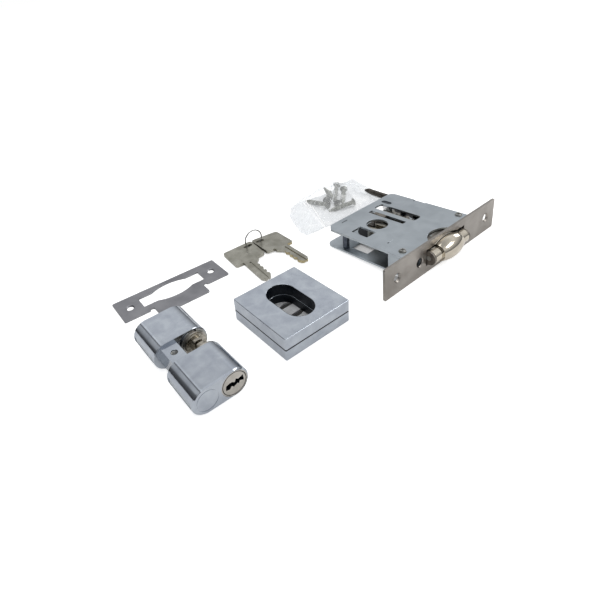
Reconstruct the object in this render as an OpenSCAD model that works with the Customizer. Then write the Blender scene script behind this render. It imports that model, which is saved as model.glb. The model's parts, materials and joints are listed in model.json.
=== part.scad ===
// Roller mortise lock laid out as a set: lock case with faceplate and roller bolt, oval double
// cylinder, two square escutcheons, strike plate, two keys on a ring, a bag of screws and the
// long screw that holds the cylinder. Millimetres, Z up, the set lies on the plane Z = 0.

/* [Faceplate] */
// Length of the faceplate
plate_len = 132; // [126:1:150]
// Height of the faceplate on edge
plate_w = 23.8; // [22:0.2:28]
// Thickness of the faceplate
plate_t = 1.6; // [1.4:0.1:4]
// Corner radius of the faceplate
plate_r = 1.2; // [0.6:0.2:3]
// Diameter of the screw holes through the faceplate
plate_hole_d = 5.2; // [4.8:0.1:5.4]
// Diameter of the countersinks in the faceplate
plate_sink_d = 7.6; // [7:0.1:7.8]
// Diameter of the fixing screw's hole in the faceplate
plate_fix_d = 6.4; // [5.6:0.1:6.8]
// Distance from the left end of the faceplate to its screw hole
plate_inset = 13; // [10:0.2:18]
// Distance from the right end of the faceplate to its screw hole
plate_inset_far = 11.4; // [10:0.2:18]

/* [Case] */
// Width of the lock case along the faceplate
case_w = 79.4; // [76:0.2:88]
// Distance from the faceplate's front to the back of the case
case_d = 75; // [72:1:84]
// Thickness of the case over both side plates
case_h = 15.2; // [15:0.2:18]
// Thickness of the side plates
sheet_t = 1.5; // [1:0.1:2]
// Radius of the case's back corners
case_r = 5; // [3:0.5:8]
// Diameter of the spacer posts
post_d = 5; // [4.4:0.1:5.2]
// Height of the rivet heads under the case
rivet_h = 1.5; // [1.2:0.1:1.8]
// Diameter of the rivet heads
rivet_d = 5; // [4.4:0.2:6]
// Diameter of the cover screws' heads
cover_head_d = 5.6; // [5:0.2:6.4]

/* [Roller bolt] */
// Length of the roller over its necks
roller_len = 40; // [36:0.5:44]
// Length of the roller's barrel
barrel_len = 24; // [18:0.5:26]
// Greatest radius of the barrel
barrel_r = 8.6; // [7.4:0.1:8.8]
// Radius of the barrel's ends
barrel_end_r = 6.4; // [5.8:0.1:7]
// Radius of the necks
neck_r = 5.1; // [4.6:0.1:5.6]
// Distance from the faceplate's front to the roller's axis
roller_y = -1.5; // [-2:0.1:0.4]
// Diameter of the roller's axle
axle_d = 3.5; // [3:0.1:4.2]
// Thickness of the carriage's ears
ear_t = 1.3; // [1:0.1:1.6]
// Depth of the carriage's body behind its front edge
carriage_d = 6; // [5:0.5:7]
// Height of the carriage
carriage_h = 11; // [10.4:0.1:11.8]
// Travel of the bolt as it is pushed in
bolt_in = 4; // [3:0.5:5]
// Travel of the bolt as the key throws it out
bolt_out = 17; // [14:0.5:18]
// Thickness of the bolt's tail
tail_t = 2; // [1.6:0.1:2.4]
// Wire diameter of the latch spring
spring_wire = 0.8; // [0.6:0.1:1]
// Outer diameter of the latch spring
spring_d = 5.6; // [5:0.1:6.4]
// Turns of the latch spring
spring_turns = 9; // [7:1:11]

/* [Drive] */
// Distance from the faceplate's front to the cylinder's axis
backset = 48.2; // [47:0.2:52]
// Diameter of the cylinder hole in the case
hub_hole_d = 16; // [15.6:0.1:17]
// Radius from the hub's axis to the drive pin
drive_r = 14; // [13:0.5:15]
// Diameter of the drive pin
drive_pin_d = 3; // [2.4:0.2:3.6]
// Turn of the lever at rest, from the faceplate's direction
drive_rest = 36; // [32:1:40]

/* [Cylinder] */
// Length of the cylinder's oval section
oval_l = 34.8; // [34:0.2:40]
// Width of the cylinder's oval section
oval_w = 18.2; // [17:0.1:19]
// Length of the near half
near_len = 27.2; // [22:0.1:40]
// Length of the far half
far_len = 27.7; // [22:0.1:40]
// Distance from the plug's axis to the middle of the bridge
bridge_pitch = 15.6; // [15.4:0.1:17]
// Width of the bridge
bridge_w = 9.6; // [9:0.1:10.4]
// Height of the bridge
bridge_h = 14.2; // [13:0.1:15]
// Diameter of the plug
plug_d = 15; // [14:0.1:15.4]
// Diameter of the fixing screw's thread
fix_d = 5; // [4:0.5:6]
// Length of the fixing screw
fix_len = 70; // [55:1:80]
// Diameter of the lock pins
pin_d = 2.9; // [2.5:0.1:3]
// Distance between the lock pins
pin_pitch = 4.2; // [4:0.1:4.2]

/* [Escutcheons] */
// Side of the square escutcheon
esc_w = 50.8; // [48:0.2:60]
// Height of the upper escutcheon
esc_h = 8.4; // [7:0.1:10]
// Height of the lower escutcheon
esc_low_h = 7.8; // [7:0.1:10]
// Wall and top thickness of the escutcheon
esc_t = 2; // [1.4:0.1:2.6]
// Clearance round the cylinder in the escutcheon
esc_clear = 0.5; // [0.3:0.1:0.8]

/* [Strike plate] */
// Length of the strike plate
strike_len = 81.2; // [80:0.1:96]
// Width of the strike plate without its lip
strike_w = 24.9; // [24:0.1:30]
// Thickness of the strike plate
strike_t = 1.2; // [1:0.1:2]
// Distance between the strike plate's screw holes
strike_pitch = 64; // [62:0.5:68]
// Reach of the lip beyond the plate's edge
lip_reach = 8.9; // [6:0.1:12]

/* [Keys and fixings] */
// Width of a key's head
key_head_w = 25.5; // [23:0.5:27]
// Length of a key's head
key_head_l = 22.5; // [20:0.5:24]
// Length of a key's blade
key_blade_l = 28; // [26:0.5:32]
// Width of a key's blade
key_blade_w = 8.3; // [8:0.1:9]
// Thickness of the keys
key_t = 2.2; // [1.8:0.1:2.6]
// Wire diameter of the key ring
ring_wire = 1; // [0.8:0.1:1.3]
// Outer diameter of the key ring
ring_d = 16; // [15.6:0.2:18]
// Thread diameter of the wood screws
screw_d = 3.8; // [3:0.1:4.2]
// Length of the wood screws
screw_l = 25; // [22:0.5:26]
// Head diameter of the wood screws
screw_head_d = 7; // [6.4:0.1:7.4]

/* [Hidden] */

// Clearances that the pieces share: running, sliding and plain
run = 0.05;
slip = 0.3;
gap = 0.5;
eps = 0.01;
round_fn = 64;
$fn = round_fn;

// Middle of the laid-out set over the table
set_mid = [-4.4627, 68.7331];

// Case heights, measured on the faceplate
plate_mid = plate_w / 2;
case_z0 = plate_mid - case_h / 2;
case_z1 = plate_mid + case_h / 2;
in_z0 = case_z0 + sheet_t;
in_z1 = case_z1 - sheet_t;
case_off = -1.5;
case_x0 = (plate_len - case_w) / 2 + case_off;
case_x1 = case_x0 + case_w;
roller_off = 0.6;
roller_x = plate_len / 2 + roller_off;

// Spacer posts: two screwed at the front, two under the cover at the back
front_post_y = 10.2;
front_post_in = [7, 4.5];
back_post_in = 4.6;
back_post_back = 16;
tenon_d = 3;
back_post_y = case_d - back_post_back;
front_posts = [[case_x0 + front_post_in[0], front_post_y], [case_x1 - front_post_in[1], front_post_y]];
back_posts = [[case_x0 + back_post_in, back_post_y], [case_x1 - back_post_in, back_post_y]];

// The case lies on the rivet heads and on the faceplate's back edge
rivet_tip_r = (rivet_d - rivet_h) / 2;
tilt = atan((case_z0 - rivet_h) / (back_post_y + rivet_tip_r - plate_t));

// Cylinder's axis and bridge in the case
hub_in = 14;
hub_x = roller_x - hub_in;
fix_x = hub_x - bridge_pitch;
hub_hole_r = hub_hole_d / 2;
bridge_slot = [bridge_w + 2 * slip, bridge_h + 2 * slip];

// Cuts in the side plates
mouth_r = 15.5;
mouth_y = -4;
wall_y = [8, 17];
notch_in = 3.2;
side_notch = [backset - 7, backset + 3];
dimple_at = [roller_x + 20.2, backset + 18];
dimple_l = 9;
dimple_w = 4;
dimple_t = 0.6;
// Short strokes pressed into the cover: their left ends
stroke_at = [[34.2, 24.1], [38.2, 70.2]];
stroke_l = 6.2;
stroke_w = 0.8;
stroke_t = 0.2;
cover_thread = 6;
cover_screw_d = 2.4;
cover_head_t = 1.3;
cover_head_top = 4;
cross_turn = 30;
cross_l = 3;
cross_w = 0.8;
cross_depth = 1;
slot_a_r = 2.4;
slot_a_x = [roller_x + 6.4, roller_x + 15.4];
slot_a_y = [30, 68];
tray_slot_r = 3;
flange_in = 3;
flange_gap = 1;
lug_w = 3.5;
lug_l = 10.5;
slot_b_x = roller_x - 0.4;
lug_y = backset + 8.3;
lug_slot_y = [lug_y - lug_l / 2 - bolt_out - gap, lug_y + lug_l / 2 + bolt_in + gap];

// Bolt heights and outlines
barrel_half = barrel_len / 2;
barrel_rise = barrel_r - barrel_end_r;
barrel_arc = (barrel_half * barrel_half + barrel_rise * barrel_rise) / (2 * barrel_rise);
window_gap = 0.8;
window_h = carriage_h + 2 * window_gap;
window_far = 2.4;
carriage_w = roller_len + 2 * (slip + ear_t);
carriage_y = 6.2;
carriage_back = carriage_y + carriage_d;
window_x = [roller_x - carriage_w / 2 - gap, roller_x + carriage_w / 2 + window_far];
window_len = window_x[1] - window_x[0];
ear_r = neck_r - 0.1;
tail_z = in_z0 + 2.6;
tail_x = [roller_x - 5.1, roller_x + 16.9];
tail_end = case_d - bolt_in - 6;
tail_front = roller_y + barrel_r + 1;
tray_slot_y = tail_end - 4;
rivet_x = [tail_x[0] + 3, tail_x[1] - 3];
tail_rivet_d = 2;
rivet_y = (tail_front + carriage_back) / 2;
slide_x = [slot_a_x[0] - 2, slot_a_x[0] + 3.6];
slide_y = [27.5, tail_end - 3];
slide_top = in_z1 - slip;
notch_h = drive_pin_d + 2.6;
notch_y = backset + drive_r * sin(drive_rest);
notch_end = hub_x + drive_r + drive_pin_d / 2 + 1;
channel_t = 1.2;
channel_hole_d = 2.4;
channel_hole_in = 2.7;
channel_hole_y = backset + 3.9;
lug_proud = 0.2;
lug_r = 0.6;
drive_rivet_d = drive_pin_d - 1;

// Latch spring, between the tail's lug and the stop
spring_x = slide_x[1] + gap + spring_d / 2;
spring_z = tail_z + tail_t + slip + spring_d / 2;
spring_lug = [23, 25.5];
spring_end = slot_a_y[1] - 7.5;
stop_t = 1.5;
stop_reach = 5;
coil_steps = 12;
coil_sides = 8;
spring_rod_d = 2.6;
spring_rod_l = 22;

// Hub and lever
hub_r = hub_hole_r - run;
hub_body_r = hub_hole_r - 0.6;
lever_z = in_z0 + slip;
lever_t = tail_z - lever_z - slip;
hub_top = in_z1 - 0.8;
hub_square = 8;
hub_floor = in_z0 + 4.5;
hub_web = 2.5;
hub_slot_turn = 100;
hub_notch_t = 4;
hub_notch_in = 1.2;
lever_end_r = 3;
lever_root = 5.4;
coupling_w = 5;
coupling_l = plug_d - 4;

// Cylinder laid on its side
cyl_at = [-123.57, 6.78];
cyl_yaw = -2.1;
body_gap = case_h + gap;
near_end = near_len;
far_start = near_len + body_gap;
cyl_len = far_start + far_len;
plug_u = (oval_l - oval_w) / 2;
oval_r = oval_w / 2;
bridge_u = plug_u - bridge_pitch;
plug_r = plug_d / 2;
plug_lip = 0.6;
plug_sunk = 0.2;
plug_back = 2.2;
lip_t = 1.6;
oval_edge = 0.9;
oval_back = 0.3;
bridge_in = 3.5;
bridge_thread_d = fix_d - 0.8;
mark_r = 6.6;
mark_w = 0.35;
mark_t = 0.15;
clip_t = 1;
clip_room = 0.2;
clip_in_r = plug_r - 0.8;
clip_out_r = plug_r + 1.1;
clip_open = 5;
coupling_disc_t = 1.2;
coupling_disc_r = plug_r - 0.6;
coupling_h = 3.4;
pin_count = 5;
pin_first = 4.6;
pin_gap = 0.25;
pin_wire = 0.4;
pin_turns = 4;
pin_steps = 7;
pin_sides = 4;
driver_l = 6;
key_pin_end = 1.5;
key_tip = 1.2;
cover_slot_w = pin_d + 1.4;
cover_slot_t = 1.2;
cover_sunk = 0.5;
cover_in = 1.5;
chamber_end = plug_u + oval_l / 2 - cover_sunk - cover_slot_t;
keyway_x = [-5.3, 5.8];
keyway_w = 1.9;
keyway_l = 24;
key_zig = [0.2, 1, -0.9, 0.8, -0.4];

// Escutcheons, strike, keys and fixings on the table
esc_at = [-53.8, 30.5];
esc_yaw = -1.8;
esc_hole = [oval_l + 2 * esc_clear, oval_w + 2 * esc_clear];
strike_at = [-92, 115.3];
strike_yaw = -3.6;
strike_r = 1;
strike_hole_d = 4.6;
strike_sink_d = 6;
strike_slot_l = 47.5;
strike_slot_w = 11.3;
strike_bulge = 8.9;
strike_bulge_l = 27.2;
lip_l = 38.3;
lip_x = 0.2;
lip_r = 1.5;
relief_r = 1.6;
esc_r = 0.8;
fix_plate_t = 1.5;
fix_plate_hole = [5.5, 6.4];
fix_plate_hole_r = 7.8;
fix_plate_bar = 7.8;

// Keys: side by side, each raised by the ring's wire under its slot
key_r = 2.2;
key_lift = 0.1;
key_lean = 3.8;
key_side = 6.3;
key_neck_side = 5.5;
key_neck_l = 2.6;
key_neck_slope = 3;
key_tip_l = 3;
key_tip_in = 2;
key_slot_u = -7.4;
key_slot_in = 5.1;
key_slot_l = 7.5;
key_slot_w = 3;
key_cut_steps = [-1.7, -0.5, 0.5, 1.7];
key_first_cut = 7.4;
key_last_cut = 3.6;
key_groove_u = 1.6;
key_groove_w = 1.4;
key_groove_t = 0.5;
key_right_cuts = [0.9, 1.5, 0.7, 1.3];
key_left_cuts = [1.1, 0.7, 1.5, 0.9];
key_cut_count = 4;
key_cut_pitch = (key_blade_l - key_tip_l - key_first_cut - key_last_cut) / (key_cut_count - 1);
key_right_at = [-3.8, 97.7];
key_right_yaw = -3.5;
key_left_at = [-30.97, 100.46];
key_left_yaw = -8;
ring_at = [-15.7, 116.1];
ring_yaw = -6;
ring_sides = 24;

// Screws: head's place on the table, heading, height and lean of the axis
screw_lean = 5.7;
screw_point = 6;
fix_point = 4;
cross_slot = 0.8;
screw_z = screw_head_d / 2 + 0.6;
screw_places = [
    [70, 117, screw_z, 98, screw_lean], [75.5, 124, screw_z, 36, screw_lean],
    [89, 104, screw_z, 162, screw_lean], [103, 128.5, screw_z, 219.5, screw_lean],
    [105.5, 139.5, screw_z, 218, screw_lean], [78, 113.5, screw_z, 72, -11.8]
];
fix_at = [116.8, 44];
fix_lean = asin((plate_sink_d - fix_d) / 2 / fix_len);

// Bag: outline on the table and the heap that its film covers
bag_h = 1;
bag_film = 0.25;
bag_top = 11;
bag_crest = 1;
bag_outline = [
    [28, 104], [31, 99.5], [46, 97], [60, 94], [88, 92], [100.5, 94], [105.5, 101], [132, 142],
    [97, 141.5], [82, 144.5], [66, 147], [54, 144.5], [39, 131]
];
bag_heap = [
    [61, 110], [67, 108], [85, 101], [92, 101], [107, 126], [110, 138], [104, 141], [92, 141.5], [62, 143.5]
];

// Flat shapes with true arcs
module stadium(l, w) {
    square([l - w, w], center = true);
    for (s = [-1, 1]) translate([s * (l - w) / 2, 0]) circle(d = w);
}
module round_box(l, w, r) {
    square([l - 2 * r, w], center = true);
    square([l, w - 2 * r], center = true);
    for (x = [-1, 1], y = [-1, 1]) translate([x * (l / 2 - r), y * (w / 2 - r)]) circle(r);
}
// A box between two corners
module span(a, b) {
    translate(a) cube(b - a);
}

// The whole set, round its middle
module set_frame() {
    translate([-set_mid.x, -set_mid.y, 0]) children();
}
// The case, leaning on its rivet heads
module case_frame() {
    set_frame() translate([0, plate_t, 0]) rotate([-tilt, 0, 0]) translate([0, -plate_t, 0]) children();
}
// The cylinder: X across its oval, Y along it from the near face, Z up
module cylinder_frame() {
    set_frame() translate([cyl_at.x, cyl_at.y, 0]) rotate(cyl_yaw) children();
}
// Turns a flat shape in X and Z into a solid along +Y
module along_y(y0, y1) {
    translate([0, y0, 0]) rotate([90, 0, 0]) mirror([0, 0, 1]) linear_extrude(y1 - y0) children();
}

// Cuts that both side plates share, with the tenons of the posts that go through
module plate_cuts(z0, z1, posts) {
    depth = z1 - z0 + 2 * eps;
    translate([0, 0, z0 - eps]) {
        translate([roller_x, mouth_y, 0]) cylinder(r = mouth_r, h = depth);
        translate([hub_x, backset, 0]) cylinder(d = hub_hole_d, h = depth);
        translate([fix_x - bridge_slot.x / 2, backset - bridge_slot.y / 2, 0])
            cube([bridge_slot.x, bridge_slot.y, depth]);
        for (p = posts) translate(p) cylinder(d = tenon_d, h = depth);
    }
}
module slot_cut(x, y, z0, z1, r) {
    translate([(x[0] + x[1]) / 2, (y[0] + y[1]) / 2, z0 - eps])
        linear_extrude(z1 - z0 + 2 * eps) round_box(x[1] - x[0], y[1] - y[0], r);
}

// Bottom plate with its flanges folded up
module case_tray() {
    color("slategray") case_frame() {
        difference() {
            translate([0, 0, case_z0]) linear_extrude(sheet_t) {
                translate([case_x0, plate_t]) square([case_w, case_d - plate_t - case_r]);
                translate([case_x0 + case_r, case_d - case_r - eps])
                    square([case_w - 2 * case_r, case_r + eps]);
                for (x = [case_x0 + case_r, case_x1 - case_r]) translate([x, case_d - case_r]) circle(case_r);
            }
            plate_cuts(case_z0, in_z0, concat(front_posts, back_posts));
            slot_cut(slot_a_x, [tray_slot_y, slot_a_y[1]], case_z0, in_z0, tray_slot_r);
        }
        // Side walls behind the faceplate
        for (x = [case_x0 + slip, case_x1 - slip - sheet_t])
            span([x, wall_y[0], in_z0], [x + sheet_t, wall_y[1], in_z1]);
        // Flanges that the faceplate is fixed to
        difference() {
            for (x = [
                [case_x0 + flange_in, window_x[0] - flange_gap], [window_x[1] + flange_gap, case_x1 - flange_in]
            ]) span([x[0], plate_t, in_z0], [x[1], plate_t + sheet_t, in_z1]);
            translate([fix_x, 0, plate_mid]) rotate([-90, 0, 0])
                cylinder(d = plate_fix_d, h = 2 * plate_t + sheet_t);
        }
        // Stop that stands in the cover's side notch
        span([case_x1 - notch_in + slip, side_notch[0] + slip, in_z0],
            [case_x1 - slip, side_notch[1] - slip, case_z1 - slip]);
    }
}

// Top plate with its slots
module cover_plate() {
    color("lightslategray") case_frame() difference() {
        translate([0, 0, in_z1]) linear_extrude(sheet_t) {
            polygon([
                [case_x0, plate_t], [case_x1, plate_t], [case_x1, case_d - case_r],
                [case_x1 - case_r, case_d], [case_x0 + case_r, case_d], [case_x0, case_d - case_r]
            ]);
            translate([case_x1 - case_r, case_d - case_r]) circle(case_r);
        }
        plate_cuts(in_z1, case_z1, front_posts);
        slot_cut(slot_a_x, slot_a_y, in_z1, case_z1, slot_a_r);
        slot_cut([slot_b_x - lug_w / 2 - slip, slot_b_x + lug_w / 2 + slip], lug_slot_y, in_z1, case_z1, slip);
        span([case_x1 - notch_in, side_notch[0], in_z1 - eps], [case_x1 + eps, side_notch[1], case_z1 + eps]);
        // Oblong dimple behind the spring
        translate([dimple_at.x, dimple_at.y, case_z1 - dimple_t])
            rotate(90) linear_extrude(sheet_t) stadium(dimple_l, dimple_w);
        for (p = stroke_at)
            span([p.x, p.y, case_z1 - stroke_t], [p.x + stroke_l, p.y + stroke_w, case_z1 + eps]);
    }
}

function is_front(p) = p.y == front_post_y;
// Spacer posts, riveted through the tray
module case_posts() {
    color("dimgray") case_frame() for (p = concat(front_posts, back_posts)) translate(p) difference() {
        union() {
            translate([0, 0, in_z0]) cylinder(d = post_d, h = in_z1 - in_z0);
            translate([0, 0, case_z0]) cylinder(d = tenon_d, h = in_z1 - case_z0);
            translate([0, 0, case_z0 - rivet_h]) cylinder(r1 = rivet_tip_r, d2 = rivet_d, h = rivet_h);
        }
        if (is_front(p)) translate([0, 0, in_z1 - cover_thread])
            cylinder(d = cover_screw_d, h = cover_thread + eps);
    }
}
// Screws that hold the cover to the front posts
module cover_screws() {
    color("silver") case_frame() for (p = front_posts) translate(p) difference() {
        union() {
            translate([0, 0, in_z1 - cover_thread]) cylinder(d = cover_screw_d, h = cover_thread);
            translate([0, 0, in_z1]) cylinder(d = tenon_d, h = sheet_t);
            translate([0, 0, case_z1]) cylinder(d1 = cover_head_d, d2 = cover_head_top, h = cover_head_t);
        }
        for (a = [0, 90]) translate([0, 0, case_z1 + cover_head_t]) rotate(a + cross_turn)
            cube([cross_l, cross_w, 2 * cross_depth], center = true);
    }
}

// Faceplate with its countersunk holes and the roller's window
module faceplate() {
    color("rosybrown") case_frame() difference() {
        translate([plate_len / 2, 0, plate_mid]) along_y(0, plate_t) round_box(plate_len, plate_w, plate_r);
        for (x = [plate_inset, plate_len - plate_inset_far]) translate([x, 0, plate_mid]) sunk_hole(plate_hole_d);
        translate([fix_x, 0, plate_mid]) sunk_hole(plate_fix_d);
        span([window_x[0], -eps, plate_mid - window_h / 2],
            [window_x[1], plate_t + eps, plate_mid + window_h / 2]);
        translate([roller_x, 0, plate_mid]) along_y(-eps, plate_t + eps) intersection() {
            square([carriage_w, plate_w], center = true);
            intersection_for (s = [-1, 1]) translate([0, s * (barrel_r - barrel_arc)])
                circle(barrel_arc + window_gap);
        }
    }
}
module sunk_hole(d) {
    rotate([-90, 0, 0]) {
        translate([0, 0, -eps]) cylinder(d = d, h = plate_t + 2 * eps);
        translate([0, 0, -eps]) cylinder(d1 = plate_sink_d, d2 = d, h = (plate_sink_d - d) / 2);
    }
}

// Abutment of the latch spring, hung under the cover beside its slot
module spring_stop() {
    color("darkkhaki") case_frame()
        span([spring_x - spring_d / 2, spring_end, spring_z - spring_d / 2],
            [slot_a_x[1] + stop_reach, spring_end + stop_t, in_z1]);
}

// Points of one ring of the wire, square to the helix's axis plane
function coil_ring(i, n, turns, len, r, w, sides) = [
    for (k = [0:sides - 1]) let (
        a = 360 * turns * i / n, b = 360 * k / sides,
        rad = r + w / 2 * cos(b), up = w / 2 + (len - w) * i / n + w / 2 * sin(b)
    ) [rad * cos(a), rad * sin(a), up]
];
// A helical spring along Z from 0 to len
module coil(len, r, w, turns, steps, sides) {
    n = turns * steps;
    last = n * sides;
    polyhedron(
        points = [for (i = [0:n]) each coil_ring(i, n, turns, len, r, w, sides)],
        faces = concat(
            [[for (k = [0:sides - 1]) k]],
            [for (i = [0:n - 1], k = [0:sides - 1]) let (q = (k + 1) % sides)
                each let (a = i * sides + k, b = a + sides, c = (i + 1) * sides + q, d = c - sides)
                    [[a, b, c], [a, c, d]]],
            [[for (k = [sides - 1:-1:0]) last + k]]
        )
    );
}
module latch_spring() {
    color("gainsboro") case_frame() translate([spring_x, spring_lug[1], spring_z]) rotate([-90, 0, 0])
        coil(spring_end - spring_lug[1], (spring_d - spring_wire) / 2, spring_wire, spring_turns, coil_steps,
            coil_sides);
}

// The roller round its axis, grown by a clearance
module roller_solid(grow) {
    translate([roller_x, roller_y, plate_mid]) rotate([0, 90, 0]) {
        translate([0, 0, -roller_len / 2 - grow]) cylinder(r = neck_r + grow, h = roller_len + 2 * grow);
        rotate_extrude() intersection() {
            translate([barrel_r - barrel_arc, 0]) circle(barrel_arc + grow);
            translate([0, -barrel_half - grow]) square([barrel_r + grow, barrel_len + 2 * grow]);
        }
    }
}
module carriage_axis(r, len) {
    translate([roller_x - len / 2, roller_y, plate_mid]) rotate([0, 90, 0]) cylinder(r = r, h = len);
}

// Fork that carries the roller
module roller_carriage() {
    color("gray") case_frame() difference() {
        union() {
            span([roller_x - carriage_w / 2, carriage_y, plate_mid - carriage_h / 2],
                [roller_x + carriage_w / 2, carriage_back, plate_mid + carriage_h / 2]);
            for (x = [roller_x - carriage_w / 2, roller_x + carriage_w / 2 - ear_t]) {
                span([x, roller_y, plate_mid - ear_r], [x + ear_t, carriage_y + eps, plate_mid + ear_r]);
                translate([x, roller_y, plate_mid]) rotate([0, 90, 0]) cylinder(r = ear_r, h = ear_t);
            }
        }
        roller_solid(slip);
        carriage_axis(axle_d / 2, carriage_w + 2 * eps);
        span([tail_x[0], tail_front, tail_z], [tail_x[1], carriage_back + eps, tail_z + tail_t]);
        for (x = rivet_x) translate([x, rivet_y, plate_mid - carriage_h])
            cylinder(d = tail_rivet_d, h = 2 * carriage_h);
    }
}
module roller_axle() {
    color("silver") case_frame() carriage_axis(axle_d / 2, carriage_w);
}
module roller() {
    color("gainsboro") case_frame() difference() {
        roller_solid(0);
        carriage_axis(axle_d / 2 + run, roller_len + 2);
    }
}

// Flat tail of the bolt, with the open notch that the drive pin works in
module bolt_tail() {
    color("tan") case_frame() {
        translate([0, 0, tail_z]) linear_extrude(tail_t) difference() {
            translate([tail_x[0], tail_front]) square([tail_x[1] - tail_x[0], tail_end - tail_front]);
            translate([tail_x[0] - eps, notch_y - notch_h / 2]) square([notch_end - tail_x[0], notch_h]);
            for (x = rivet_x) translate([x, rivet_y]) circle(d = tail_rivet_d);
        }
        difference() {
            span([spring_x - spring_d / 2, spring_lug[0], tail_z + tail_t],
                [spring_x + spring_d / 2, spring_lug[1], spring_z + spring_d / 2]);
            translate([spring_x, spring_lug[0] - eps, spring_z]) rotate([-90, 0, 0])
                cylinder(d = spring_rod_d, h = spring_lug[1] - spring_lug[0] + 2 * eps);
        }
    }
}
// Raised channel under the cover's long slot
module slide_channel() {
    color("lightsteelblue") case_frame() difference() {
        span([slide_x[0], slide_y[0], tail_z + tail_t], [slide_x[1], slide_y[1], slide_top]);
        span([slide_x[0] + channel_t, slide_y[0] - eps, tail_z + tail_t - eps],
            [slide_x[1] - channel_t, slide_y[1] + eps, slide_top - channel_t]);
        translate([slide_x[0] + channel_hole_in, channel_hole_y, tail_z + tail_t])
            cylinder(d = channel_hole_d, h = slide_top - tail_z);
    }
}
// Nickelled block that runs in the cover's narrow slot
module guide_lug() {
    color("wheat") case_frame() translate([slot_b_x, lug_y, tail_z + tail_t])
        linear_extrude(case_z1 + lug_proud - tail_z - tail_t) round_box(lug_w, lug_l, lug_r);
}
module tail_rivets() {
    color("silver") case_frame() for (x = rivet_x)
        translate([x, rivet_y, plate_mid - carriage_h / 2]) cylinder(d = tail_rivet_d, h = carriage_h);
}
module spring_rod() {
    color("silver") case_frame() translate([spring_x, spring_lug[0], spring_z]) rotate([-90, 0, 0])
        cylinder(d = spring_rod_d, h = spring_rod_l);
}

// Hub that the cylinder's couplings turn, with a journal in the tray's hole
module hub() {
    color("burlywood") case_frame() translate([hub_x, backset, 0]) difference() {
        union() {
            translate([0, 0, case_z0 + slip]) cylinder(r = hub_r, h = lever_z - case_z0 - slip);
            rotate(drive_rest) translate([-hub_square / 2, -hub_square / 2, lever_z - eps])
                cube([hub_square, hub_square, lever_t + 2 * eps]);
            translate([0, 0, lever_z + lever_t]) cylinder(r = hub_body_r, h = hub_top - lever_z - lever_t);
        }
        for (z = [case_z0, hub_floor + hub_web]) translate([0, 0, z]) rotate(hub_slot_turn)
            translate([-coupling_l / 2 - slip, -coupling_w / 2 - slip, 0])
                cube([
                    coupling_l + 2 * slip, coupling_w + 2 * slip, z < hub_floor ? hub_floor - z : hub_top - z + eps
                ]);
        // Open sector at the back of the hub
        translate([0, 0, hub_top - hub_notch_t]) linear_extrude(hub_notch_t + eps)
            polygon([
                [0, hub_notch_in], [-hub_body_r, hub_body_r + hub_notch_in], [hub_body_r, hub_body_r + hub_notch_in]
            ]);
    }
}
module hub_lever() {
    color("silver") case_frame() translate([hub_x, backset, lever_z]) rotate(drive_rest)
        linear_extrude(lever_t) difference() {
            union() {
                circle(hub_body_r);
                translate([drive_r, 0]) circle(lever_end_r);
                polygon([[0, -lever_root], [drive_r, -lever_end_r], [drive_r, lever_end_r], [0, lever_root]]);
            }
            square(hub_square, center = true);
            translate([drive_r, 0]) circle(d = drive_rivet_d);
        }
}
module drive_pin() {
    color("silver") case_frame() translate([hub_x, backset, lever_z]) rotate(drive_rest) translate([drive_r, 0, 0]) {
        cylinder(d = drive_rivet_d, h = lever_t + eps);
        translate([0, 0, lever_t]) cylinder(d = drive_pin_d, h = tail_z + tail_t - slip - lever_z - lever_t);
    }
}

// Oval bar along Y with chamfered ends: cones round the two arcs, a prism between them
module oval_solid(y0, y1, c0, c1) {
    h = y1 - y0;
    outline = [[0, 0], [oval_r - c0, 0], [oval_r, c0], [oval_r, h - c1], [oval_r - c1, h], [0, h]];
    translate([0, y0, oval_r]) {
        for (s = [-1, 1]) translate([s * plug_u, 0, 0]) rotate([-90, 0, 0]) rotate_extrude() polygon(outline);
        translate([-plug_u, 0, 0]) rotate([90, 0, 90]) linear_extrude(2 * plug_u) polygon(concat(
            [[0, oval_r - c0], [c0, oval_r], [h - c1, oval_r], [h, oval_r - c1]],
            [[h, c1 - oval_r], [h - c1, -oval_r], [c0, -oval_r], [0, c0 - oval_r]]
        ));
    }
}
// A round solid along Y on the plug's axis
module on_plug(y, r, h) {
    translate([plug_u, y, oval_r]) rotate([-90, 0, 0]) cylinder(r = r, h = h);
}
// Pin places along one half, counted from its outer face
function pin_y(i) = pin_first + i * pin_pitch;
// Runs its children at each pin chamber, with Z along the chamber away from the plug
module at_pins(face, dir) {
    for (i = [0:pin_count - 1]) translate([plug_u, face + dir * pin_y(i), oval_r]) rotate([0, -90, 0]) children();
}
// One half of the cylinder: face is its outer end, dir points to the case
module cylinder_half(face, dir, len) {
    y0 = dir > 0 ? face : face - len;
    inner = face + dir * len;
    difference() {
        oval_solid(y0, y0 + len, dir > 0 ? oval_edge : oval_back, dir > 0 ? oval_back : oval_edge);
        on_plug(y0 - eps, plug_r + run, len + 2 * eps);
        on_plug(dir > 0 ? y0 - eps : y0 + len - lip_t, plug_r + plug_lip + run, lip_t + eps);
        at_pins(face, dir) translate([0, 0, plug_r - 1]) cylinder(d = pin_d, h = chamber_end - plug_r + 1 + eps);
        span([-oval_l / 2 - eps, y0 + cover_in, oval_r - cover_slot_w / 2],
            [-oval_l / 2 + cover_sunk + cover_slot_t, y0 + len - cover_in, oval_r + cover_slot_w / 2]);
        bridge_bar();
    }
}
module bridge_bar() {
    span([bridge_u - bridge_w / 2, near_end - bridge_in, oval_r - bridge_h / 2],
        [bridge_u + bridge_w / 2, far_start + bridge_in, oval_r + bridge_h / 2]);
}
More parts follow.
